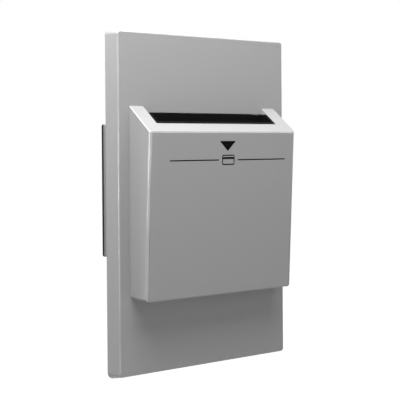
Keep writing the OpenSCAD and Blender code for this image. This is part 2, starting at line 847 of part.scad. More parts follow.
module card_lever() {
    ramp = [face_y, nose_top_z];
    upper = [nose_tip_y, nose_z + nose_tip_h / 2];
    lower = [nose_tip_y, nose_z - nose_tip_h / 2];
    heel = [face_y, nose_bottom_z];
    color("ivory")
        difference() {
            union() {
                block([-lever_w / 2, arm_front_y, arm_bottom_z], [lever_w / 2, pivot_y, pivot_z]);
                prism(-nose_w / 2, nose_w / 2, concat(
                    [[pivot_y - arm_t / 2, nose_top_z], ramp],
                    corner(ramp, upper, lower, nose_tip_h / 2),
                    corner(upper, lower, heel, nose_tip_h / 2),
                    [heel, [pivot_y - arm_t / 2, nose_bottom_z]]
                ));
                for (x = [-hub_x, hub_inner_x])
                    rod_x(pivot_y, pivot_z, hub_r, x, x + hub_x - hub_inner_x);
                block(
                    [spring_x - spring_seat_w / 2, arm_front_y, spring_room_z - spring_pad_h],
                    [spring_x + spring_seat_w / 2, spring_seat_y, spring_room_z - stop_gap]
                );
            }
            rod_x(pivot_y, pivot_z, pin_r + running_fit, -hub_x - past, hub_x + past);
            block([-hub_inner_x, -plate_d, spring_room_z], [hub_inner_x, shell_d, pivot_z + 2 * hub_r]);
        }
}

module lever_pin() {
    color("silver")
        rod_x(pivot_y, pivot_z, pin_r, -cheek_x - cheek_t, cheek_x + cheek_t);
}

// Torsion spring: a leg up to the shell's seat, the turns round the pin, a leg down the lever's back
spring_rings = 8;
spring_path = let (
    n = spring_turns * spring_rings,
    top = [-spring_x, pivot_y + spring_r, pivot_z],
    out = [0, 1, 0]
) concat(
    [for (z = [spring_leg, spring_leg / 2]) [top + [0, 0, z], out]],
    [for (i = [0:n]) let (a = -360 * i / spring_rings, around = [0, cos(a), sin(a)])
        [[-spring_x + spring_pitch * i / spring_rings, pivot_y, pivot_z] + spring_r * around, around]],
    [for (z = [spring_leg / 2, spring_leg]) [top + [2 * spring_x, 0, -z], out]]
);

module lever_spring() {
    color("silver")
        wire(spring_path, spring_wire_r);
}

module switch_case() {
    top_ear_margin = 0.8;
    top_ear_w = 2 * (switch_post_r + top_ear_margin);
    top_ear_h = top_ear_rise + switch_post_r;
    side_ear_h = 2 * side_ear_rise;
    side_reach = side_ear_x + switch_post_r;
    color("darkslategray")
        difference() {
            union() {
                block([-case_w / 2, case_y, case_bottom_z], [case_w / 2, case_back_y, case_top_z]);
                block(
                    [-top_ear_w / 2, case_y, case_top_z - past],
                    [top_ear_w / 2, case_y + ear_t, case_top_z + top_ear_h]
                );
                block(
                    [-side_reach, case_y, case_bottom_z],
                    [side_reach, case_y + ear_t, case_bottom_z + side_ear_h]
                );
            }
            block(
                [-case_inner_x, case_y + case_wall, case_bottom_z + case_wall],
                [case_inner_x, case_back_y + past, case_top_z - case_wall]
            );
            rod_y(0, plunger_z, plunger_r + running_fit, case_y - past, case_y + case_wall + past);
            rod_x(arm_y, pivot_z, arm_pin_r + hole_fit, -case_w, case_w);
            for (p = switch_points)
                rod_y(p.x, p.y, small_screw_r + hole_fit, case_y - past, case_y + ear_t + past);
            block(
                [-case_w, line_strip_y - slip, line_z - strip_w / 2 - slip],
                [-case_inner_x + past, case_back_y + past, line_z + strip_w / 2 + slip]
            );
            block(
                [case_inner_x - past, load_strip_y - slip, load_z - strip_w / 2 - slip],
                [case_w, case_back_y + past, load_z + strip_w / 2 + slip]
            );
        }
}

// Lid with a peg for the arm's spring and two tongues that close the slots over the strips
module switch_lid() {
    peg_gap = 0.2;
    peg_r = arm_spring_r - arm_spring_wire_r - peg_gap;
    peg_h = 1.2;
    color("slategray") {
        block([-case_w / 2, case_back_y, case_bottom_z], [case_w / 2, lid_back_y, case_top_z]);
        rod_y(0, arm_spring_z, peg_r, case_back_y - peg_h, case_back_y);
        block(
            [-case_w / 2, line_strip_y + strip_t + slip, line_z - strip_w / 2],
            [-case_inner_x - slip, case_back_y, line_z + strip_w / 2]
        );
        block(
            [case_inner_x + slip, load_strip_y + strip_t + slip, load_z - strip_w / 2],
            [case_w / 2, case_back_y, load_z + strip_w / 2]
        );
    }
}

module switch_screws() {
    color("silver")
        for (p = switch_points)
            along_y([p.x, case_y + ear_t, p.y], -1)
                small_screw();
}

// Plunger with two round ends and the flange that keeps it in the case
module switch_plunger() {
    ends = [plunger_tip_y + plunger_r, plunger_end_y - plunger_r];
    color("firebrick") {
        for (y = ends)
            translate([0, y, plunger_z])
                sphere(r = plunger_r, $fn = round_fn);
        rod_y(0, plunger_z, plunger_r, ends[0], ends[1]);
        rod_y(0, plunger_z, plunger_flange_r, plunger_flange_y, plunger_flange_y + plunger_flange_t);
    }
}

module contact_arm() {
    color("goldenrod")
        difference() {
            union() {
                rod_x(arm_y, pivot_z, arm_hub_r, -arm_hub_w, arm_hub_w);
                block([-arm_half_w, arm_face_y, arm_end_z], [arm_half_w, arm_rear_y, pivot_z]);
            }
            rod_x(arm_y, pivot_z, arm_pin_r + running_fit, -case_w, case_w);
            rod_y(0, contact_z, rivet_r + hole_fit, arm_face_y - past, arm_rear_y + past);
        }
}

module arm_pin() {
    color("silver")
        rod_x(arm_y, pivot_z, arm_pin_r, -case_w / 2, case_w / 2);
}

// Compression spring between the contact arm and the lid
arm_spring_path = let (
    n = arm_spring_turns * spring_rings,
    y0 = arm_rear_y + arm_spring_gap + arm_spring_wire_r,
    y1 = case_back_y - arm_spring_gap - arm_spring_wire_r
) [
    for (i = [0:n]) let (a = 360 * i / spring_rings, around = [cos(a), 0, sin(a)])
        [[0, y0 + (y1 - y0) * i / n, arm_spring_z] + arm_spring_r * around, around]
];

module arm_spring() {
    color("silver")
        wire(arm_spring_path, arm_spring_wire_r);
}

// Rivet through a strip of thickness t: head at the origin, shank along Z, clinched beyond the strip
module rivet(t) {
    translate([0, 0, -contact_t])
        cylinder(r = contact_r, h = contact_t, $fn = round_fn);
    cylinder(r = rivet_r, h = t, $fn = round_fn);
    translate([0, 0, t])
        cylinder(r = clinch_r, h = clinch_t, $fn = round_fn);
}

module moving_contact() {
    color("lightgray")
        along_y([0, arm_rear_y, contact_z], -1)
            rivet(contact_arm_t);
}

module fixed_contact() {
    color("lightgray")
        along_y([0, load_strip_y, contact_z], 1)
            rivet(strip_t);
}

// Tab that a terminal strip ends in, against the shell's wall on one side, with the screw's hole
module terminal_tab(side, z, strip_y) {
    difference() {
        translate([side * (tab_x - strip_t / 2), (tab_front_y + strip_y + strip_t) / 2, z])
            cube([strip_t, strip_y + strip_t - tab_front_y, tab_h], center = true);
        rod_x(terminal_y, z, terminal_screw_r + hole_fit, -body_w, body_w);
    }
}

module line_terminal() {
    plate_front_y = arm_y - arm_hub_r;
    color("gold") {
        difference() {
            block(
                [-line_plate_x - strip_t, plate_front_y, line_z - strip_w / 2],
                [-line_plate_x, line_strip_y + strip_t, line_z + strip_w / 2]
            );
            rod_x(arm_y, pivot_z, arm_pin_r + hole_fit, -case_w, case_w);
        }
        block(
            [-tab_x, line_strip_y, line_z - strip_w / 2],
            [-line_plate_x, line_strip_y + strip_t, line_z + strip_w / 2]
        );
        terminal_tab(-1, line_z, line_strip_y);
    }
}

module load_terminal() {
    color("gold") {
        difference() {
            block(
                [-contact_r - load_strip_margin, load_strip_y, load_z - strip_w / 2],
                [tab_x, load_strip_y + strip_t, load_z + strip_w / 2]
            );
            rod_y(0, contact_z, rivet_r + hole_fit, load_strip_y - past, load_strip_y + strip_t + past);
        }
        terminal_tab(1, load_z, load_strip_y);
    }
}

module terminal_screws() {
    color("gold")
        for (s = [[-1, line_z], [1, load_z]])
            translate([s[0] * tab_x, terminal_y, s[1]])
                rotate([0, -90 * s[0], 0])
                    pan_screw(terminal_screw_r, terminal_screw_l, terminal_head_r, terminal_head_h);
}

echo(str("Lever spring, least gap: ", least_gap(spring_path, spring_wire_r, spring_rings)));
echo(str("Contact arm spring, least gap: ", least_gap(arm_spring_path, arm_spring_wire_r, spring_rings)));

front_cover();
card_guide();
guide_screws();
mounting_strap();
box_screws();
ground_screw();
strap_screws();
body_shell();
rear_cover();
rear_cover_screws();
card_lever();
lever_pin();
lever_spring();
switch_case();
switch_lid();
switch_screws();
switch_plunger();
contact_arm();
arm_pin();
arm_spring();
moving_contact();
fixed_contact();
line_terminal();
load_terminal();
terminal_screws();
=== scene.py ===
"""Dresses the key card switch: finishes, eased edges, threaded screws, springs, print, stage and camera."""
import math

import bmesh
import bpy
from mathutils import Matrix, Vector


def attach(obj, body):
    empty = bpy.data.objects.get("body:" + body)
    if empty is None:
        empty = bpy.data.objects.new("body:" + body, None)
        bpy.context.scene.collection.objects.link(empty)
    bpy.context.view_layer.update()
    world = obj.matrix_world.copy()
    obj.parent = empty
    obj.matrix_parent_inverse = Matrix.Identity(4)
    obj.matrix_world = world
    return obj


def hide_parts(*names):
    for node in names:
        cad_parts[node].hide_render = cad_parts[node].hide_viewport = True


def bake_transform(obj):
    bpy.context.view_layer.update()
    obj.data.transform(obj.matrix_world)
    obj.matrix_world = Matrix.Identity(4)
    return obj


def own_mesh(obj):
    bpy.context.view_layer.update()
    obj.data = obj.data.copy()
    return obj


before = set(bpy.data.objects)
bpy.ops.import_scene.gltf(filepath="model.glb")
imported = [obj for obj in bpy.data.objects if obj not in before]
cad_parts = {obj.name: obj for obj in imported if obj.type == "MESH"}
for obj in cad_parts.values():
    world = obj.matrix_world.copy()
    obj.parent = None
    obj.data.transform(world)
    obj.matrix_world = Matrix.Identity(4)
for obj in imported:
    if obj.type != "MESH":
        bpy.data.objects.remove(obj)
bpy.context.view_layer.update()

MM = 0.001
FULL_TURN = 2 * math.pi
WELD = 0.0003 * MM


class Tree:
    """A node tree that is being wired."""

    def __init__(self, tree):
        self.tree = tree

    def add(self, kind, feeds=None, **settings):
        """Adds a node, sets its properties, and feeds its inputs with values or other sockets."""
        node = self.tree.nodes.new(kind)
        for name, value in settings.items():
            setattr(node, name, value)
        self.feed(node, feeds or {})
        return node

    def feed(self, node, feeds):
        for socket, value in feeds.items():
            target = node.inputs[socket]
            if isinstance(value, bpy.types.NodeSocket):
                self.tree.links.new(value, target)
            else:
                target.default_value = value

    def math(self, operation, *values, clamp=False):
        feeds = dict(enumerate(values))
        return self.add("ShaderNodeMath", feeds, operation=operation, use_clamp=clamp).outputs[0]

    def product(self, *values):
        result = values[0]
        for value in values[1:]:
            result = self.math("MULTIPLY", result, value)
        return result

    def sway(self, noise, swing, level, clamp=False):
        """The level, moved up and down by a noise that has its middle at 0.5."""
        return self.math("MULTIPLY_ADD", self.math("SUBTRACT", noise, 0.5), swing, level, clamp=clamp)

    def scaled(self, vector, factor):
        return self.add("ShaderNodeVectorMath", {0: vector, "Scale": factor}, operation="SCALE").outputs[0]

    def ramp(self, value, low, high, to_low=0.0, to_high=1.0):
        feeds = {"Value": value, "From Min": low, "From Max": high, "To Min": to_low, "To Max": to_high}
        return self.add("ShaderNodeMapRange", feeds).outputs["Result"]

    def noise(self, vector, scale, detail=2.0, roughness=0.5):
        feeds = {"Vector": vector, "Scale": scale, "Detail": detail, "Roughness": roughness}
        return self.add("ShaderNodeTexNoise", feeds).outputs["Fac"]


SOCKETS = {
    "float": "NodeSocketFloat", "int": "NodeSocketInt", "bool": "NodeSocketBool", "color": "NodeSocketColor",
    "vector": "NodeSocketVector", "geometry": "NodeSocketGeometry", "material": "NodeSocketMaterial"}


def new_group(name, kind, inputs, outputs):
    """A node group with (name, type) pairs as sockets. Returns its tree, its inputs and its output node."""
    group = bpy.data.node_groups.new(name, kind)
    for label, sort in inputs:
        group.interface.new_socket(label, in_out="INPUT", socket_type=SOCKETS[sort])
    for label, sort in outputs:
        group.interface.new_socket(label, in_out="OUTPUT", socket_type=SOCKETS[sort])
    tree = Tree(group)
    entry = tree.add("NodeGroupInput")
    return tree, entry.outputs, tree.add("NodeGroupOutput")


# Shader groups: each puts out a colour, a roughness and a height that change over the surface.

SKIN = [("Color", "color"), ("Roughness", "float"), ("Height", "float")]


def moulded_skin_group():
    """Moulded plastic: a slow drift of tone, faint flow marks, a fine grain, edges worn lighter and smoother by
    handling, and a glossy coat on the edges that is partly polish and partly a painted highlight.
    """
    tree, given, out = new_group(
        "moulded_skin", "ShaderNodeTree",
        [("Vector", "vector"), ("Color", "color"), ("Roughness", "float"), ("Tone Spread", "float"),
         ("Grain Scale", "float"), ("Edge Polish And Painted Highlight", "float"), ("Worn", "float")],
        SKIN + [("Coat", "float")])
    drift = tree.noise(given["Vector"], scale=22.0, detail=2.0)
    along = tree.add("ShaderNodeMapping", {"Vector": given["Vector"], "Scale": (260, 260, 90)}).outputs[0]
    flow = tree.noise(along, scale=1.0, detail=3.0)
    grain = tree.noise(given["Vector"], given["Grain Scale"], detail=2.0, roughness=0.6)
    swing = tree.sway(flow, swing=0.4, level=tree.math("SUBTRACT", drift, 0.5))
    rubbed = tree.math("MULTIPLY", given["Worn"], tree.ramp(flow, low=0.35, high=0.65))
    tone = tree.math("MULTIPLY_ADD", swing, given["Tone Spread"], 1.0)
    lifted = tree.math("MULTIPLY_ADD", rubbed, 0.10, tone)
    rough = tree.sway(flow, swing=0.12, level=given["Roughness"])
    polished = tree.math("SUBTRACT", rough, tree.math("MULTIPLY", rubbed, 0.08), clamp=True)
    # Painted highlight: the coat on the worn edges is strongest near the slot and fades towards the foot,
    # standing in for lamp light that falls off downwards.
    z = tree.add("ShaderNodeSeparateXYZ", {0: given["Vector"]}).outputs["Z"]
    reach = tree.ramp(z, low=-50 * MM, high=20 * MM, to_low=0.25, to_high=1.0)
    painted_highlight_fade = tree.math("MULTIPLY", reach, tree.ramp(flow, low=0.3, high=0.6, to_low=0.6, to_high=1.0))
    coat = tree.product(painted_highlight_fade, given["Worn"], given["Edge Polish And Painted Highlight"])
    tree.feed(out, {"Color": tree.scaled(given["Color"], lifted), "Roughness": polished, "Height": grain,
                    "Coat": coat})
    return tree.tree


def drawn_metal_group():
    """Drawn, rolled or ground metal: streaks along one axis, set by the vector's stretch, and dull patches."""
    tree, given, out = new_group(
        "drawn_metal", "ShaderNodeTree",
        [("Vector", "vector"), ("Stretch", "vector"), ("Color", "color"), ("Roughness", "float"),
         ("Tarnish", "float"), ("Worn", "float")], SKIN)
    pulled = tree.add("ShaderNodeVectorMath", {0: given["Vector"], 1: given["Stretch"]}, operation="MULTIPLY")
    streak = tree.noise(pulled.outputs[0], scale=1.0, detail=3.0, roughness=0.65)
    patch = tree.ramp(tree.noise(given["Vector"], scale=320.0, detail=4.0, roughness=0.6), low=0.42, high=0.72)
    dull = tree.math("MULTIPLY", patch, given["Tarnish"])
    bright = tree.math("MULTIPLY_ADD", given["Worn"], 0.12, 1.0)
    tone = tree.sway(streak, swing=0.16, level=bright)
    tone = tree.math("SUBTRACT", tone, tree.math("MULTIPLY", dull, 0.35))
    rough = tree.sway(streak, swing=0.22, level=given["Roughness"])
    rough = tree.math("MULTIPLY_ADD", dull, 0.25, rough, clamp=True)
    tree.feed(out, {"Color": tree.scaled(given["Color"], tone), "Roughness": rough, "Height": streak})
    return tree.tree


def plated_grain_group():
    """Zinc plating: small crystals of slightly different tone, a cloudy bloom and a fine pitted skin."""
    tree, given, out = new_group(
        "plated_grain", "ShaderNodeTree",
        [("Vector", "vector"), ("Color", "color"), ("Roughness", "float"), ("Crystal Scale", "float"),
         ("Worn", "float")], SKIN)
    cells = tree.add("ShaderNodeTexVoronoi", {"Vector": given["Vector"], "Scale": given["Crystal Scale"]})
    cell = tree.add("ShaderNodeSeparateColor", {"Color": cells.outputs["Color"]}).outputs[0]
    bloom = tree.noise(given["Vector"], scale=75.0, detail=3.0, roughness=0.6)
    pits = tree.noise(given["Vector"], scale=2600.0, detail=2.0, roughness=0.6)
    tone = tree.sway(cell, swing=0.13, level=1.0)
    tone = tree.sway(bloom, swing=0.22, level=tone)
    tone = tree.math("MULTIPLY_ADD", given["Worn"], 0.1, tone)
    rough = tree.sway(cell, swing=0.16, level=given["Roughness"])
    rough = tree.sway(bloom, swing=0.2, level=rough, clamp=True)
    tree.feed(out, {"Color": tree.scaled(given["Color"], tone), "Roughness": rough, "Height": pits})
    return tree.tree


def turned_rings_group():
    """Lathe rings round a screw's axis, from the distance that its mesh carries, over a mottled plating."""
    tree, given, out = new_group(
        "turned_rings", "ShaderNodeTree",
        [("Vector", "vector"), ("Turned", "float"), ("Color", "color"), ("Roughness", "float"),
         ("Ring Count", "float")], SKIN)
    mottle = tree.noise(given["Vector"], scale=900.0, detail=3.0, roughness=0.6)
    wavy = tree.math("MULTIPLY_ADD", mottle, 0.06 * MM, given["Turned"])
    ring = tree.math("SINE", tree.math("MULTIPLY", wavy, given["Ring Count"]))
    tone = tree.math("MULTIPLY_ADD", ring, 0.035, 1.0)
    tone = tree.sway(mottle, swing=0.25, level=tone)
    rough = tree.sway(mottle, swing=0.3, level=given["Roughness"])
    rough = tree.math("MULTIPLY_ADD", ring, 0.03, rough, clamp=True)
    tree.feed(out, {"Color": tree.scaled(given["Color"], tone), "Roughness": rough, "Height": ring})
    return tree.tree


GROUPS = {"moulded": moulded_skin_group(), "drawn": drawn_metal_group(), "plated": plated_grain_group(),
          "turned": turned_rings_group()}


def finish(name, pattern, color, roughness, bump, metallic=0.0, constants=None, **given):
    """A material whose pattern group drives colour, roughness and bump, which is (strength, depth in mm).

    The constants go on the shader's own sockets."""
    mat = bpy.data.materials.new(name)
    mat.use_nodes = True
    mat.node_tree.nodes.clear()
    tree = Tree(mat.node_tree)
    place = tree.add("ShaderNodeTexCoord").outputs["Object"]
    group = tree.add("ShaderNodeGroup", node_tree=GROUPS[pattern])
    tree.feed(group, {"Vector": place, "Color": (*color, 1.0), "Roughness": roughness, **given})
    for socket in ("Worn", "Turned"):
        if socket in group.inputs:
            carried = tree.add("ShaderNodeAttribute", attribute_name=socket.lower()).outputs["Fac"]
            tree.feed(group, {socket: carried})
    strength, depth = bump
    relief = tree.add("ShaderNodeBump", {
        "Strength": strength, "Distance": depth * MM, "Height": group.outputs["Height"]})
    shader = tree.add("ShaderNodeBsdfPrincipled", {
        "Base Color": group.outputs["Color"], "Roughness": group.outputs["Roughness"], "Metallic": metallic,
        "Normal": relief.outputs[0], **(constants or {})})
    # The coat on the worn edges is partly polish and partly a painted highlight: extra gloss that stands in for
    # lamp light along them.
    if given.get("Edge Polish And Painted Highlight"):
        tree.feed(shader, {"Coat Weight": group.outputs["Coat"]})
    tree.add("ShaderNodeOutputMaterial", {"Surface": shader.outputs[0]})
    return mat


def moulded(name, color, roughness, spread, grain=5200.0, depth=0.02, strength=0.35, polish_and_painted_highlight=0.0,
            **constants):
    return finish(name, "moulded", color, roughness, (strength, depth), constants=constants,
                  **{"Tone Spread": spread, "Grain Scale": grain, "Edge Polish And Painted Highlight": polish_and_painted_highlight})


def drawn(name, color, roughness, stretch, tarnish=0.2):
    return finish(name, "drawn", color, roughness, (0.4, 0.01), metallic=1.0, Stretch=stretch, Tarnish=tarnish)


def plated(name, color, roughness, bump, crystals):
    return finish(name, "plated", color, roughness, bump, metallic=1.0, **{"Crystal Scale": crystals})


def turned(name, color, roughness, metallic=1.0):
    return finish(name, "turned", color, roughness, (0.35, 0.012), metallic=metallic, **{"Ring Count": 52000.0})


FINISH = {
    # The cover's edges carry a glossy coat that is partly polish and partly a painted highlight.
    "cover_plastic": moulded("cover_grey_satin", (0.33, 0.33, 0.33), 0.22, spread=0.03, depth=0.012,
                             strength=0.2, polish_and_painted_highlight=1.0, **{"Coat IOR": 1.8, "Coat Roughness": 0.2}),
    "guide_plastic": moulded("guide_black_matt", (0.004, 0.004, 0.0042), 0.7, spread=0.25, grain=4200.0,
                             **{"Specular IOR Level": 0.05}),
    "shell_plastic": moulded("shell_grey_matt", (0.22, 0.22, 0.22), 0.5, spread=0.05, grain=3600.0,
                             depth=0.03),
    "rear_plastic": moulded("rear_black_matt", (0.007, 0.007, 0.0073), 0.55, spread=0.25, grain=3600.0,
                            depth=0.03, **{"Specular IOR Level": 0.15}),
    "zinc_steel": plated("strap_zinc", (0.60, 0.61, 0.63), 0.36, (0.3, 0.012), 620.0),
    "screw_steel": turned("screw_plated", (0.64, 0.64, 0.635), 0.30),
    "green_steel": turned("earth_screw_green", (0.03, 0.22, 0.065), 0.34, metallic=0.75),
    "pin_steel": drawn("pin_ground", (0.60, 0.60, 0.61), 0.24, (90.0, 4200.0, 4200.0)),
    "spring_steel": drawn("spring_wire", (0.46, 0.46, 0.475), 0.30, (900.0, 900.0, 900.0), tarnish=0.35),
    "lever_plastic": moulded("lever_natural", (0.70, 0.675, 0.59), 0.42, spread=0.06, grain=4200.0),
    "case_plastic": moulded("case_thermoset", (0.026, 0.026, 0.030), 0.46, spread=0.3, grain=2600.0,
                            depth=0.03),
    "lid_plastic": moulded("lid_thermoset", (0.052, 0.052, 0.056), 0.46, spread=0.3, grain=2600.0, depth=0.03),
    "plunger_plastic": moulded("plunger_red", (0.38, 0.026, 0.018), 0.30, spread=0.08, grain=4200.0,
                               strength=0.2),
    "brass": drawn("brass_strip", (0.70, 0.47, 0.17), 0.32, (2600.0, 2600.0, 160.0), tarnish=0.35),
    "brass_screw": turned("terminal_screw_brass", (0.72, 0.50, 0.20), 0.28),
    "silver": plated("contact_silver", (0.80, 0.79, 0.765), 0.24, (0.25, 0.008), 1500.0),
}
INK = moulded("black_ink", (0.003, 0.003, 0.0031), 0.6, spread=0.35, grain=2600.0, depth=0.006,
              **{"Specular IOR Level": 0.03})


def show(mesh, name, body, slot_name, *replaced):
    """Puts a finished mesh in the scene, on a body, in the place of the CAD nodes it stands for."""
    obj = bpy.data.objects.new(name, mesh)
    bpy.context.collection.objects.link(obj)
    if body:
        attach(obj, body)
    if replaced:
        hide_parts(*replaced)
    return obj


def applied(obj):
    """The object's mesh with its modifiers applied. The object itself is removed."""
    graph = bpy.context.evaluated_depsgraph_get()
    shaped = obj.evaluated_get(graph)
    mesh = bpy.data.meshes.new_from_object(shaped, preserve_all_data_layers=True, depsgraph=graph)
    bpy.data.objects.remove(obj, do_unlink=True)
    return mesh


# Moulded and stamped pieces: copies of the CAD solids with a small radius on every sharp outer edge.

SAME_CORNER = 0.002 * MM
FLAT_ANGLE, CREASE_ANGLE, SHARP_ANGLE = (math.radians(angle) for angle in (0.6, 30, 40))
STRIP_WIDTH, STRIP_LENGTH = 0.4 * MM, 4 * MM
EASED = {
    "front_cover": ("base", 0.18), "card_guide": ("base", 0.15), "mounting_strap": ("base", 0.15),
    "body_shell": ("base", 0.25), "rear_cover": ("base", 0.15), "card_lever": ("lever", 0.15),
    "lever_pin": ("base", 0.2), "switch_case": ("base", 0.15), "switch_lid": ("base", 0.2),
    "contact_arm": ("contact", 0.1), "arm_pin": ("base", 0.1), "moving_contact": ("contact", 0.15),
    "fixed_contact": ("base", 0.15), "line_terminal": ("base", 0.12), "load_terminal": ("base", 0.12)}


def is_strip(mesh, face):
    """True for a long narrow face, as the rounded edges of the CAD solids are made of."""
    longest = max((mesh.vertices[a].co - mesh.vertices[b].co).length for a, b in face.edge_keys)
    return longest > STRIP_LENGTH and face.area < STRIP_WIDTH * longest


def eased(node, body, radius):
    """Replaces a CAD node by a copy with its sharp outer edges rounded by radius, in mm, and marked as worn."""
    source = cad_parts[node]
    slot_name = source.data.materials[0].name
    bm = bmesh.new()
    bm.from_mesh(source.data)
    bmesh.ops.remove_doubles(bm, verts=bm.verts, dist=SAME_CORNER)
    bmesh.ops.dissolve_limit(bm, angle_limit=FLAT_ANGLE, verts=bm.verts, edges=bm.edges)
    weight = bm.edges.layers.float.new("bevel_weight_edge")
    for edge in bm.edges:
        turn = edge.calc_face_angle_signed() if len(edge.link_faces) == 2 else 0.0
        edge[weight] = 1.0 if turn > SHARP_ANGLE else 0.0
        edge.smooth = abs(turn) < CREASE_ANGLE
    for face in bm.faces:
        face.smooth = True
        face.material_index = 0
    draft = bpy.data.meshes.new(node + "_draft")
    bm.to_mesh(draft)
    bm.free()
    obj = bpy.data.objects.new(node + "_draft", draft)
    bpy.context.collection.objects.link(obj)
    # A second material tells the rounded edges from the rest until they are marked as worn.
    for mat in (FINISH[slot_name], INK):
        draft.materials.append(mat)
    ease = obj.modifiers.new("ease", "BEVEL")
    ease.limit_method, ease.use_clamp_overlap = "WEIGHT", False
    ease.width, ease.segments = radius * MM, 2
    ease.material = 1
    obj.modifiers.new("weld", "WELD").merge_threshold = WELD
    obj.modifiers.new("level", "WEIGHTED_NORMAL").keep_sharp = True
    mesh = applied(obj)
    marks = [float(face.material_index or is_strip(mesh, face)) for face in mesh.polygons]
    mesh.attributes.new("worn", "FLOAT", "FACE").data.foreach_set("value", marks)
    mesh.polygons.foreach_set("material_index", [0] * len(mesh.polygons))
    mesh.materials.pop(index=1)
    return show(mesh, node + "_eased", body, slot_name, node)


for node, (body, radius) in EASED.items():
    eased(node, body, radius)
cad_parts["switch_plunger"].data.materials[0] = FINISH["plunger_plastic"]


# Screws: one tree makes a set, from points that carry the direction of each shank.

SCREW_SIZES = (
    "Shank Radius", "Shank Length", "Neck Radius", "Neck Length", "Pitch", "Thread Depth", "Head Radius",
    "Head Height", "Crown", "Recess Width", "Recess Length", "Recess Depth")
SHANK_SIDES, ROWS_PER_PITCH = 20, 7.0
HEAD_ROWS, HEAD_RINGS = 5, 6
SCREW_CREASE = math.radians(38)


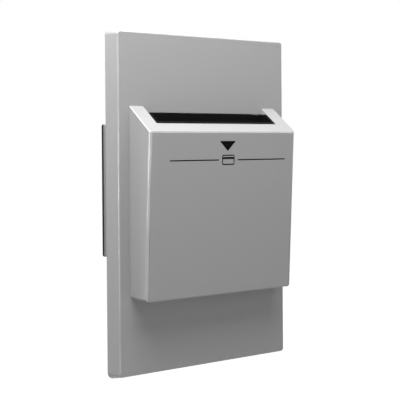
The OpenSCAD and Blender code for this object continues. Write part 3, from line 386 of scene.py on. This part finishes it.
def screw_tree():
    """Threaded shank and domed head with a driver recess, set on every point with its own turn."""
    tree, given, out = new_group(
        "threaded_screws", "GeometryNodeTree",
        [("Points", "geometry")] + [(label, "float") for label in SCREW_SIZES]
        + [("Head Sides", "int"), ("Cross", "bool"), ("Seed", "int"), ("Finish", "material")],
        [("Screws", "geometry")])

    def placed(geometry, z):
        offset = tree.add("ShaderNodeCombineXYZ", {"Z": z}).outputs[0]
        return tree.add("GeometryNodeSetPosition", {"Geometry": geometry, "Offset": offset}).outputs[0]

    def position():
        here = tree.add("GeometryNodeInputPosition").outputs[0]
        return tree.add("ShaderNodeSeparateXYZ", {0: here}).outputs

    def radial():
        x, y, z = position()
        squares = tree.math("ADD", tree.math("MULTIPLY", x, x), tree.math("MULTIPLY", y, y))
        return tree.math("SQRT", squares), z

    def reshaped(geometry, sideways, z):
        x, y, _ = position()
        moved = tree.add("ShaderNodeCombineXYZ", {
            "X": tree.math("MULTIPLY", x, sideways), "Y": tree.math("MULTIPLY", y, sideways), "Z": z})
        feeds = {"Geometry": geometry, "Position": moved.outputs[0]}
        return tree.add("GeometryNodeSetPosition", feeds).outputs[0]

    rows = tree.math("MULTIPLY", tree.math("DIVIDE", given["Shank Length"], given["Pitch"]), ROWS_PER_PITCH)
    rod = tree.add("GeometryNodeMeshCylinder", {
        "Vertices": SHANK_SIDES, "Side Segments": rows, "Radius": given["Shank Radius"],
        "Depth": given["Shank Length"]}).outputs[0]
    rod = placed(rod, tree.math("MULTIPLY", given["Shank Length"], -0.5))
    x, y, z = position()
    lead = tree.math("DIVIDE", tree.math("ARCTAN2", y, x), FULL_TURN)
    phase = tree.math("FRACT", tree.math("ADD", tree.math("DIVIDE", z, given["Pitch"]), lead))
    ridge = tree.math("ABSOLUTE", tree.math("MULTIPLY_ADD", phase, 2.0, -1.0))
    cut = tree.math("MULTIPLY", tree.ramp(ridge, low=0.12, high=0.85), given["Thread Depth"])
    thread = tree.math("SUBTRACT", 1.0, tree.math("DIVIDE", cut, given["Shank Radius"]))
    above_tip = tree.math("DIVIDE", tree.math("ADD", z, given["Shank Length"]), given["Shank Radius"])
    point = tree.ramp(above_tip, low=0.0, high=0.6, to_low=0.68, to_high=1.0)
    in_neck = tree.math("GREATER_THAN", z, tree.math("MULTIPLY", given["Neck Length"], -1.0))
    plain = tree.math("MULTIPLY", in_neck, tree.math("DIVIDE", given["Neck Radius"], given["Shank Radius"]))
    in_thread = tree.math("SUBTRACT", 1.0, in_neck)
    cutting = tree.math("MULTIPLY", in_thread, tree.math("MULTIPLY", thread, point))
    rod = reshaped(rod, tree.math("ADD", plain, cutting), z)

    head = tree.add("GeometryNodeMeshCylinder", {
        "Vertices": given["Head Sides"], "Side Segments": HEAD_ROWS, "Fill Segments": HEAD_RINGS,
        "Radius": given["Head Radius"], "Depth": given["Head Height"]}, fill_type="TRIANGLE_FAN").outputs[0]
    head = placed(head, tree.math("MULTIPLY", given["Head Height"], 0.5))
    away, z = radial()
    share = tree.math("DIVIDE", away, given["Head Radius"])
    rise = tree.math("DIVIDE", z, given["Head Height"])
    drawn_in = tree.math("MULTIPLY", tree.math("POWER", rise, 4.0), tree.math("POWER", share, 4.0))
    sink = tree.math("MULTIPLY", tree.math("POWER", share, 3.0), given["Crown"])
    head = reshaped(head, tree.math("MULTIPLY_ADD", drawn_in, -0.1, 1.0),
                    tree.math("MULTIPLY", z, tree.math("SUBTRACT", 1.0, sink)))

    def blade(length, width):
        size = tree.add("ShaderNodeCombineXYZ", {
            "X": length, "Y": width, "Z": tree.math("MULTIPLY", given["Recess Depth"], 2.0)}).outputs[0]
        box = tree.add("GeometryNodeMeshCube", {"Size": size}).outputs[0]
        return placed(box, given["Head Height"])

    second = blade(given["Recess Width"], given["Recess Length"])
    none = tree.add("GeometryNodeJoinGeometry").outputs[0]
    second = tree.add("GeometryNodeSwitch", {"Switch": given["Cross"], "False": none, "True": second},
                      input_type="GEOMETRY").outputs[0]
    cutters = tree.add("GeometryNodeMeshBoolean", operation="UNION", solver="EXACT")
    for socket in (blade(given["Recess Length"], given["Recess Width"]), second):
        tree.tree.links.new(socket, cutters.inputs["Mesh 2"])
    _, _, z = position()
    down = tree.math("DIVIDE", tree.math("SUBTRACT", given["Head Height"], z), given["Recess Depth"])
    taper = tree.ramp(down, low=0.0, high=1.0, to_low=1.0, to_high=0.62)
    cutter = reshaped(cutters.outputs[0], taper, z)
    head = tree.add("GeometryNodeMeshBoolean", {"Mesh 1": head, "Mesh 2": cutter}, operation="DIFFERENCE",
                    solver="EXACT").outputs[0]
    head = tree.add("GeometryNodeMergeByDistance", {"Geometry": head, "Distance": WELD}).outputs[0]

    screw = tree.add("GeometryNodeJoinGeometry")
    for socket in (rod, head):
        tree.tree.links.new(socket, screw.inputs[0])
    away, _ = radial()
    screw = tree.add("GeometryNodeStoreNamedAttribute", {
        "Geometry": screw.outputs[0], "Name": "turned", "Value": away}, data_type="FLOAT", domain="POINT")
    screw = smoothed(tree, screw.outputs[0], SCREW_CREASE)

    axis = tree.add("GeometryNodeInputNamedAttribute", {"Name": "axis"}, data_type="FLOAT_VECTOR").outputs[0]
    upward = tree.scaled(axis, -1.0)
    turn = tree.add("FunctionNodeAlignRotationToVector", {"Vector": upward}, axis="Z").outputs[0]
    twist = tree.add("FunctionNodeRandomValue", {"Max": FULL_TURN, "Seed": given["Seed"]}, data_type="FLOAT")
    twist = [socket for socket in twist.outputs if socket.enabled][0]
    spin = tree.add("FunctionNodeAxisAngleToRotation", {"Axis": (0, 0, 1), "Angle": twist}).outputs[0]
    turn = tree.add("FunctionNodeRotateRotation", {"Rotation": turn, "Rotate By": spin},
                    rotation_space="LOCAL").outputs[0]
    copies = tree.add("GeometryNodeInstanceOnPoints", {
        "Points": given["Points"], "Instance": screw, "Rotation": turn}).outputs[0]
    tree.feed(out, {"Screws": dressed(tree, copies, given["Finish"])})
    return tree.tree


def smoothed(tree, geometry, crease):
    """Geometry with smooth shading over every edge that bends by less than the crease angle."""
    bend = tree.add("GeometryNodeInputMeshEdgeAngle").outputs[0]
    soft = tree.add("FunctionNodeCompare", {0: bend, 1: crease}, operation="LESS_THAN").outputs[0]
    feeds = {"Geometry": geometry, "Shade Smooth": soft}
    return tree.add("GeometryNodeSetShadeSmooth", feeds, domain="EDGE").outputs[0]


def dressed(tree, geometry, material):
    """Geometry made real and given its finish, as every tree ends."""
    real = tree.add("GeometryNodeRealizeInstances", {0: geometry}).outputs[0]
    return tree.add("GeometryNodeSetMaterial", {"Geometry": real, "Material": material}).outputs[0]


def run_tree(group, mesh, values):
    """The plain mesh that a Geometry Nodes tree makes of mesh, with its inputs set by name."""
    obj = bpy.data.objects.new("draft", mesh)
    bpy.context.collection.objects.link(obj)
    maker = obj.modifiers.new("maker", "NODES")
    maker.node_group = group
    for item in group.interface.items_tree:
        if item.in_out == "INPUT" and item.name in values:
            maker[item.identifier] = values[item.name]
    return applied(obj)


SCREWS = screw_tree()
THREAD_SHARE = 0.42
CROSS_WIDTH, CROSS_LENGTH, CROSS_DEPTH = 0.36, 1.3, 0.55


def screw_set(node, slot_name, seats, way, shank, head, seed, pitch=0.8, neck=None, recess=None, sides=40,
              crown=0.4):
    """Threaded screws for a CAD node, in mm.

    The way is one shank direction, or one for each seat. Shank, head and neck are (radius, length). The recess
    is (width, length, depth) of a slot, and without one the head gets a cross."""
    mesh = bpy.data.meshes.new(node + "_seats")
    mesh.from_pydata([Vector(seat) * MM for seat in seats], [], [])
    ways = way if isinstance(way, list) else [way] * len(seats)
    axis = mesh.attributes.new("axis", "FLOAT_VECTOR", "POINT")
    axis.data.foreach_set("vector", [value for one in ways for value in one])
    r, length = shank
    head_r, head_h = head
    neck_r, neck_l = neck or (r, 0.0)
    width, reach, depth = recess or (CROSS_WIDTH * head_r, CROSS_LENGTH * head_r, CROSS_DEPTH * head_h)
    lengths = (r, length, neck_r, neck_l, pitch, THREAD_SHARE * pitch, head_r, head_h, crown / MM, width, reach,
               depth)
    sizes = dict(zip(SCREW_SIZES, (value * MM for value in lengths)))
    made = run_tree(SCREWS, mesh, {**sizes, "Head Sides": sides, "Cross": recess is None, "Seed": seed,
                                   "Finish": FINISH[slot_name]})
    show(made, node + "_threaded", "base", slot_name, node)


INTO, OUT = (0, 1, 0), (0, -1, 0)
EAR_Y, STRAP_Y, CASE_Y, REAR_Y = -4.8, -1.2, 12, 30.4
CORNERS = [(x, z) for x in (-19.0, 19.0) for z in (-18.7, 25.7)]
SMALL = {"shank": (1.3, 8.0), "head": (2.405, 1.495), "pitch": 0.7}
screw_set("guide_screws", "screw_steel", [(x, EAR_Y, z) for x in (-30.9, 30.9) for z in (-20, 20)], OUT,
          shank=(1.0, 8.0), head=(1.85, 1.15), seed=3, pitch=0.6)
screw_set("box_screws", "screw_steel", [(0, STRAP_Y, z) for z in (-41.67, 41.67)], INTO,
          shank=(1.75, 22.0), head=(3.24, 2.01), seed=5, neck=(1.95, 1.2))
screw_set("ground_screw", "green_steel", [(-20, STRAP_Y, -37)], INTO,
          shank=(2.0, 9.0), head=(4.0, 2.4), seed=8, recess=(0.8, 9.0, 1.2), sides=6, crown=0.14)
screw_set("strap_screws", "screw_steel", [(x, STRAP_Y, z) for x, z in CORNERS], INTO, seed=11, **SMALL)
screw_set("rear_cover_screws", "screw_steel", [(x, REAR_Y, z) for x, z in CORNERS], OUT, seed=17, **SMALL)
screw_set("switch_screws", "screw_steel", [(0, CASE_Y, 19), (-9.7, CASE_Y, -9.5), (9.7, CASE_Y, -9.5)], OUT,
          seed=23, **SMALL)
screw_set("terminal_screws", "brass_screw", [(-20.8, 14, 9), (20.8, 14, -9.5)], [(1, 0, 0), (-1, 0, 0)],
          shank=(1.75, 6.0), head=(3.6, 2.3), seed=29)


# Springs: one tree winds a wire, with a straight leg at each end where it has one.

WIRE_SIDES = 12
WIRE_CREASE = math.radians(50)


def wire_tree():
    """A wire wound round Z, with a straight leg at each end. Closing draws its end turns together."""
    tree, given, out = new_group(
        "wound_wire", "GeometryNodeTree",
        [("Geometry", "geometry"), ("Turns", "float"), ("Coil Radius", "float"), ("Wire Radius", "float"),
         ("Height", "float"), ("Leg", "float"), ("Closing", "float"), ("Steps", "int"), ("Finish", "material")],
        [("Wire", "geometry")])
    line = tree.add("GeometryNodeCurvePrimitiveLine", {"End": (0, 0, 1)}).outputs[0]
    line = tree.add("GeometryNodeResampleCurve", {"Curve": line, "Count": given["Steps"]}).outputs[0]
    t = tree.add("GeometryNodeSplineParameter").outputs["Factor"]
    count = tree.math("ABSOLUTE", given["Turns"])
    hand = tree.math("SIGN", given["Turns"])
    has_leg = tree.math("GREATER_THAN", given["Leg"], 0.0)
    # The path's own measure is in turns: a leg counts as one turn before the first and one after the last.
    span = tree.math("MULTIPLY_ADD", has_leg, 2.0, count)
    along = tree.math("MULTIPLY_ADD", t, span, tree.math("MULTIPLY", has_leg, -1.0))
    wound = tree.math("MINIMUM", tree.math("MAXIMUM", along, 0.0), count)
    angle = tree.math("MULTIPLY", tree.math("MULTIPLY", wound, FULL_TURN), hand)
    share = tree.math("DIVIDE", wound, count)
    bent = tree.math("SINE", tree.math("MULTIPLY", share, FULL_TURN))
    height = tree.math("SUBTRACT", share, tree.math("MULTIPLY", bent, given["Closing"]))
    beyond = tree.math("SUBTRACT", along, wound)
    run_out = tree.math("MULTIPLY", beyond, tree.math("MULTIPLY", given["Leg"], hand))
    spot = tree.add("ShaderNodeCombineXYZ", {
        "X": tree.math("MULTIPLY", tree.math("COSINE", angle), given["Coil Radius"]),
        "Y": tree.math("MULTIPLY_ADD", tree.math("SINE", angle), given["Coil Radius"], run_out),
        "Z": tree.math("MULTIPLY", height, given["Height"])}).outputs[0]
    path = tree.add("GeometryNodeSetPosition", {"Geometry": line, "Position": spot}).outputs[0]
    ring = tree.add("GeometryNodeCurvePrimitiveCircle", {
        "Resolution": WIRE_SIDES, "Radius": given["Wire Radius"]}).outputs[0]
    wire = tree.add("GeometryNodeCurveToMesh", {
        "Curve": path, "Profile Curve": ring, "Fill Caps": True}).outputs[0]
    wire = smoothed(tree, wire, WIRE_CREASE)
    tree.feed(out, {"Wire": dressed(tree, wire, given["Finish"])})
    return tree.tree


WIRE = wire_tree()


def spring(node, body, place, turns, coil, wire, height, leg, closing, steps):
    """A wound spring for a CAD node. Sizes are in mm, and place turns and moves it from its own axis."""
    values = {"Turns": turns, "Coil Radius": coil * MM, "Wire Radius": wire * MM, "Height": height * MM,
              "Leg": leg * MM, "Closing": closing, "Steps": steps, "Finish": FINISH["spring_steel"]}
    mesh = run_tree(WIRE, bpy.data.meshes.new(node + "_start"), values)
    mesh.transform(place)
    return show(mesh, node + "_wound", body, "spring_steel", node)


ALONG_X = Matrix(((0, 0, 1, 0), (1, 0, 0, 0), (0, 1, 0, 0), (0, 0, 0, 1)))
ALONG_Y = Matrix(((0, 1, 0, 0), (0, 0, 1, 0), (1, 0, 0, 0), (0, 0, 0, 1)))
HINGE = Vector((0, 5.6, 9)) * MM
ARM_SEAT = Vector((0, 15.7, 2)) * MM
half_wind = Vector((2.65, 0, 0)) * MM
returning = spring("lever_spring", None, Matrix.Translation(HINGE - half_wind) @ ALONG_X,
                   turns=-5.0, coil=2.3, wire=0.3, height=5.3, leg=6.0, closing=0.0, steps=360)
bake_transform(returning)
pressing = spring("arm_spring", "base", Matrix.Translation(ARM_SEAT) @ ALONG_Y,
                  turns=6.0, coil=1.4, wire=0.25, height=7.8, leg=0.0, closing=0.06, steps=240)
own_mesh(pressing)


# Print on the pocket's face: a down arrow, and under it a plain card sign between two rules.

FOOT_Y, FOOT_Z = -15.8, -34.9
LEAN = 3.2 / 60.8
INK_LIFT, INK_SINK = 0.02, 0.02
ARROW = [(-3.1, 22.7), (4.7, 22.7), (0.85, 18.95)]
RULE_Z = (15.42, 15.84)
CORNER_STEPS = 6


def pocket_y(z):
    """The pocket's front face at height z, in mm."""
    return FOOT_Y - (z - FOOT_Z) * LEAN


def printed(name, outlines):
    """A film of ink, partly sunk in the pocket's face. Each outline is a list of (x, z) points in mm."""
    bm = bmesh.new()
    for points in outlines:
        corners = [bm.verts.new(Vector((x, pocket_y(z) - INK_LIFT, z)) * MM) for x, z in points]
        bm.faces.new(corners)
    bmesh.ops.remove_doubles(bm, verts=bm.verts, dist=WELD)
    back = bmesh.ops.extrude_face_region(bm, geom=bm.faces[:], use_keep_orig=True)["geom"]
    bmesh.ops.translate(bm, verts=[part for part in back if isinstance(part, bmesh.types.BMVert)],
                        vec=(0, (INK_LIFT + INK_SINK) * MM, 0))
    bmesh.ops.recalc_face_normals(bm, faces=bm.faces)
    mesh = bpy.data.meshes.new(name)
    bm.to_mesh(mesh)
    bm.free()
    mesh.materials.append(INK)
    return show(mesh, name, "base", "guide_plastic")


def ring_of(x, z, w, h, r, stroke):
    """Quads of a rounded rectangle's outline, stroke wide, about its centre."""
    def loop(inset):
        points = []
        for k, (sx, sz) in enumerate(((1, 1), (-1, 1), (-1, -1), (1, -1))):
            middle_x, middle_z = x + sx * (w / 2 - r), z + sz * (h / 2 - r)
            for i in range(CORNER_STEPS + 1):
                a = math.pi / 2 * (k + i / CORNER_STEPS)
                points.append((middle_x + (r - inset) * math.cos(a), middle_z + (r - inset) * math.sin(a)))
        return points
    outer, inner = loop(0), loop(stroke)
    return [[outer[i - 1], outer[i], inner[i], inner[i - 1]] for i in range(len(outer))]


def bar(x0, x1, z0, z1):
    return [(x0, z0), (x1, z0), (x1, z1), (x0, z1)]


printed("arrow_print", [ARROW])
printed("card_print", ring_of(1.25, 15.65, w=6.0, h=3.8, r=0.6, stroke=0.4)
        + [bar(-1.35, 3.85, 15.95, 16.7), bar(-26.2, -3.4, *RULE_Z), bar(5.9, 30.0, *RULE_Z)])


# Stage: a pale floor below, soft lamps, a white surround and the camera.

FLOOR_Z, FLOOR_HALF = -0.25, 4
# The floor's glow rises from near the part to far from it.
NEAR, FAR = 0.4, 0.9
NEAR_GLOW, FAR_GLOW = 0.62, 0.93
AMBIENT = 0.12
WHITE = (1, 1, 1, 1)
LAMPS = {
    "key_above_left": ((-0.122, -0.070, 0.265), 0.20, 1.10),
    "front_above": ((0.0, -0.141, 0.265), 0.20, 0.55),
    "front_fill": ((-0.082, -0.463, 0.171), 0.30, 0.27),
    "left_above": ((-0.124, -0.007, 0.159), 0.08, 0.14),
    "top_behind": ((0.0, 0.038, 0.217), 0.15, 0.28),
    "left_low": ((-0.405, -0.109, -0.010), 0.06, 0.26)}


def seen_directly(tree):
    """1 for rays that show the background to the camera, straight or through gloss or glass."""
    path = tree.add("ShaderNodeLightPath").outputs
    gloss = tree.math("MAXIMUM", path["Is Camera Ray"], path["Is Glossy Ray"])
    return tree.math("MAXIMUM", gloss, path["Is Transmission Ray"])


def pale_floor():
    """A floor far below the part. It takes the shadow, and is clear from below, to show the underside."""
    mat = bpy.data.materials.new("pale_floor")
    mat.use_nodes = True
    mat.node_tree.nodes.clear()
    tree = Tree(mat.node_tree)
    paint = tree.add("ShaderNodeBsdfDiffuse", {"Color": (0.8, 0.8, 0.8, 1)})
    spot = tree.add("ShaderNodeTexCoord").outputs["Object"]
    away = tree.add("ShaderNodeVectorMath", {0: spot}, operation="LENGTH").outputs["Value"]
    level = tree.ramp(away, NEAR, FAR, NEAR_GLOW, FAR_GLOW)
    glow = tree.add("ShaderNodeEmission", {
        "Color": WHITE, "Strength": tree.math("MULTIPLY", seen_directly(tree), level)})
    both = tree.add("ShaderNodeAddShader", {0: paint.outputs[0], 1: glow.outputs[0]})
    from_below = tree.add("ShaderNodeNewGeometry").outputs["Backfacing"]
    clear = tree.add("ShaderNodeBsdfTransparent")
    one_way = tree.add("ShaderNodeMixShader", {0: from_below, 1: both.outputs[0], 2: clear.outputs[0]})
    tree.add("ShaderNodeOutputMaterial", {"Surface": one_way.outputs[0]})
    mesh = bpy.data.meshes.new("pale_floor")
    corners = [(x * FLOOR_HALF, y * FLOOR_HALF, FLOOR_Z) for x, y in ((-1, -1), (1, -1), (1, 1), (-1, 1))]
    mesh.from_pydata(corners, [], [(0, 1, 2, 3)])
    mesh.materials.append(mat)
    floor = bpy.data.objects.new("pale_floor", mesh)
    bpy.context.collection.objects.link(floor)


def white_surround():
    """A world that is white to look at, and lights the part only dimly."""
    world = bpy.data.worlds.new("white_surround")
    world.use_nodes = True
    world.node_tree.nodes.clear()
    tree = Tree(world.node_tree)
    dim = tree.add("ShaderNodeBackground", {"Color": WHITE, "Strength": AMBIENT})
    white = tree.add("ShaderNodeBackground", {"Color": WHITE, "Strength": 1.0})
    both = tree.add("ShaderNodeMixShader", {0: seen_directly(tree), 1: dim.outputs[0], 2: white.outputs[0]})
    tree.add("ShaderNodeOutputWorld", {"Surface": both.outputs[0]})
    bpy.context.scene.world = world


def soft_lamp(name, spot, size, power):
    """A square area lamp aimed at the origin. The spot and the size across in metres, the power in watts."""
    data = bpy.data.lights.new(name, "AREA")
    data.shape, data.size, data.energy = "SQUARE", size, power
    lamp = bpy.data.objects.new(name, data)
    lamp.location = spot
    lamp.rotation_euler = (-Vector(spot)).to_track_quat("-Z", "Y").to_euler()
    bpy.context.collection.objects.link(lamp)


pale_floor()
white_surround()
for name, (spot, size, power) in LAMPS.items():
    soft_lamp(name, spot, size, power)

lens = bpy.data.cameras.new("camera")
lens.sensor_width, lens.lens = 36.0, 97.067
lens.shift_y = -0.1
camera = bpy.data.objects.new("camera", lens)
camera.location = (-0.259204, -0.326686, 0.021186)
camera.rotation_euler = [math.radians(angle) for angle in (89.213, 0.394, -38.698)]
bpy.context.collection.objects.link(camera)
bpy.context.scene.camera = camera
bpy.context.scene.view_settings.view_transform = "Standard"
